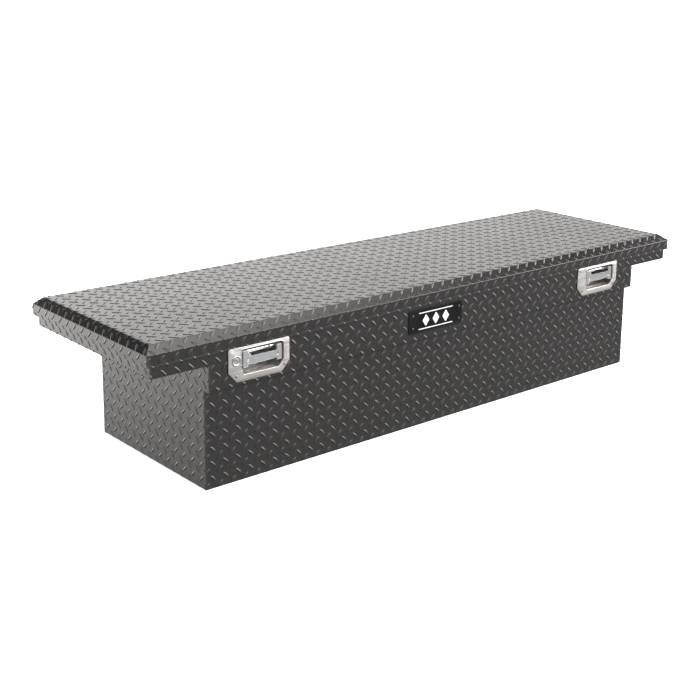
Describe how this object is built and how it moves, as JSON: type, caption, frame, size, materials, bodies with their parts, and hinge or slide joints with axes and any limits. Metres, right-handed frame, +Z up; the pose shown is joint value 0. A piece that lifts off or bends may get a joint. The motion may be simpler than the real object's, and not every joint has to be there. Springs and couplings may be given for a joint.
{
  "type": "truck tool box",
  "caption": "Low-profile crossover tool box for a pickup bed, folded tread plate, one bevelled lid on a full-length rear hinge, recessed pull-handle latches and gas struts.",
  "frame": {"origin": "centre of the tub's underside", "axes": "+X along the box to the right as seen from the latch side, +Y towards the hinge side, +Z up"},
  "size_m": [1.7716, 0.5144, 0.3683],
  "materials": {
    "tread_plate": "satin",
    "stainless": "satin",
    "chrome": "polished",
    "zinc": "satin",
    "rubber": "matte",
    "name_plate": "gloss",
    "black_rivet": "satin",
    "strut_black": "satin",
    "foam": "matte"
  },
  "bodies": {
    "body": {"front_panel": "tread_plate", "back_panel": "tread_plate", "left_end_panel": "tread_plate", "right_end_panel": "tread_plate", "floor_panel": "tread_plate", "rim_seal": "rubber", "hinge_body_leaf": "zinc", "hinge_pin": "zinc", "name_plate": "name_plate", "name_plate_rivet_1": "black_rivet", "name_plate_rivet_2": "black_rivet", "name_plate_rivet_3": "black_rivet", "name_plate_rivet_4": "black_rivet", "lock_housing": "chrome", "lock_nut": "zinc", "shaft_bearing_left": "zinc", "shaft_bearing_centre": "zinc", "shaft_bearing_right": "zinc", "latch_plate_left": "stainless", "latch_plate_right": "stainless", "latch_gasket_left": "rubber", "latch_gasket_right": "rubber", "handle_pin_left": "zinc", "handle_pin_right": "zinc", "handle_spring_left": "zinc", "handle_spring_right": "zinc", "latch_rivet_left_1": "stainless", "latch_rivet_left_2": "stainless", "latch_rivet_right_1": "stainless", "latch_rivet_right_2": "stainless", "strut_foot_left": "zinc", "strut_foot_right": "zinc"},
    "lid": {"lid_shell": "tread_plate", "lid_core": "foam", "lid_liner": "tread_plate", "hinge_lid_leaf": "zinc", "striker_left": "zinc", "striker_right": "zinc", "strut_head_left": "zinc", "strut_head_right": "zinc"},
    "left_handle": {"latch_handle_left": "chrome"},
    "right_handle": {"latch_handle_right": "chrome"},
    "latch_shaft": {"release_shaft": "zinc", "release_lever_left": "zinc", "release_lever_right": "zinc", "latch_hook_left": "zinc", "latch_hook_right": "zinc"},
    "lock": {"lock_plug": "chrome", "lock_cam": "zinc"},
    "left_strut_tube": {"strut_tube_left": "strut_black"},
    "left_strut_rod": {"strut_rod_left": "chrome"},
    "right_strut_tube": {"strut_tube_right": "strut_black"},
    "right_strut_rod": {"strut_rod_right": "chrome"}
  },
  "joints": [
    {"name": "lid_hinge", "type": "hinge", "parent": "body", "child": "lid", "pos_m": [0, 0.2519, 0.3185], "axis": [-1, 0, 0], "range_deg": [0, 75]},
    {"name": "left_handle_pull", "type": "hinge", "parent": "body", "child": "left_handle", "pos_m": [-0.5835, -0.24, 0.307], "axis": [-1, 0, 0], "range_deg": [0, 28], "stiffness_Nm_per_rad": 0.5, "springref_deg": -28.65},
    {"name": "right_handle_pull", "type": "hinge", "parent": "body", "child": "right_handle", "pos_m": [0.5835, -0.24, 0.307], "axis": [-1, 0, 0], "range_deg": [0, 28]},
    {"name": "latch_shaft_turn", "type": "hinge", "parent": "body", "child": "latch_shaft", "pos_m": [0, -0.208, 0.294], "axis": [1, 0, 0], "range_deg": [0, 32.3]},
    {"name": "lock_turn", "type": "hinge", "parent": "body", "child": "lock", "pos_m": [-0.6575, -0.24, 0.294], "axis": [0, -1, 0], "range_deg": [0, 90]},
    {"name": "left_strut_swing", "type": "hinge", "parent": "body", "child": "left_strut_tube", "pos_m": [-0.713, 0.1, 0.06], "axis": [-1, 0, 0], "range_deg": [0, 15.7]},
    {"name": "left_strut_slide", "type": "slide", "parent": "left_strut_tube", "child": "left_strut_rod", "axis": [0, 0.0076, 1], "range_m": [0, 0.159]},
    {"name": "right_strut_swing", "type": "hinge", "parent": "body", "child": "right_strut_tube", "pos_m": [0.713, 0.1, 0.06], "axis": [-1, 0, 0], "range_deg": [0, 15.7]},
    {"name": "right_strut_slide", "type": "slide", "parent": "right_strut_tube", "child": "right_strut_rod", "axis": [0, 0.0076, 1], "range_m": [0, 0.159]}
  ],
  "couplings": [
    {"joint": "right_handle_pull", "follows": "left_handle_pull", "ratio": 1},
    {"joint": "latch_shaft_turn", "follows": "left_handle_pull", "ratio": 1.15},
    {"joint": "left_strut_swing", "follows": "lid_hinge", "ratio": 0.20852},
    {"joint": "left_strut_slide", "follows": "lid_hinge", "m_per_rad": 0.12119},
    {"joint": "right_strut_swing", "follows": "lid_hinge", "ratio": 0.20852},
    {"joint": "right_strut_slide", "follows": "lid_hinge", "m_per_rad": 0.12119}
  ]
}
